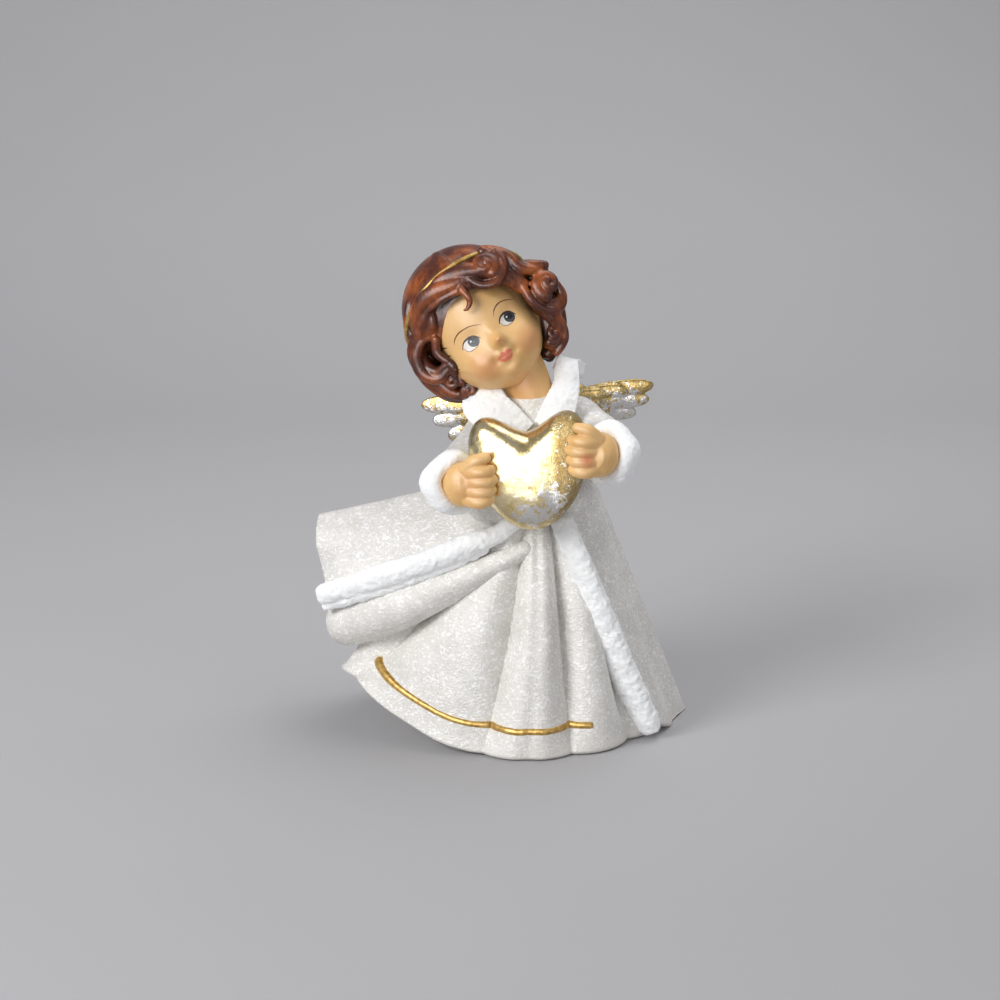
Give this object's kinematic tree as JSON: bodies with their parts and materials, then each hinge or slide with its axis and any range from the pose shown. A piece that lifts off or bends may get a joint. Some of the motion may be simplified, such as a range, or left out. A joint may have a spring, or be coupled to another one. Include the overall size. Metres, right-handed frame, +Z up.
{
  "type": "angel figurine",
  "caption": "Painted resin cherub angel in a white glittered coat and dress, holding a gold heart, with small gold wings.",
  "frame": {"origin": "centre of the felt foot, on the shelf", "axes": "+Z up, the angel looks along -Y, +X to the viewer's right"},
  "size_m": [0.0921, 0.0588, 0.1188],
  "materials": {
    "felt": "matte",
    "glitter_resin": "satin",
    "fur_paint": "matte",
    "gold_paint": "satin",
    "gold_leaf": "polished",
    "skin_paint": "satin",
    "hair_paint": "gloss"
  },
  "bodies": {
    "root": {"felt_pad": "felt", "dress_skirt": "glitter_resin", "dress_bodice": "glitter_resin", "hem_band": "gold_paint", "coat_body": "glitter_resin", "coat_flap": "glitter_resin", "coat_lining": "glitter_resin", "fur_trim_left": "fur_paint", "fur_trim_right": "fur_paint", "collar_left": "fur_paint", "collar_right": "fur_paint", "sleeve_left": "glitter_resin", "sleeve_right": "glitter_resin", "cuff_left": "fur_paint", "cuff_right": "fur_paint", "hand_left": "skin_paint", "hand_right": "skin_paint", "heart": "gold_leaf", "wing_left": "gold_leaf", "wing_right": "gold_leaf", "neck": "skin_paint", "head": "skin_paint", "hair_cap": "hair_paint", "hair_front": "hair_paint", "hair_left": "hair_paint", "hair_right": "hair_paint", "forelock": "hair_paint", "hairband": "gold_paint"}
  },
  "joints": []
}
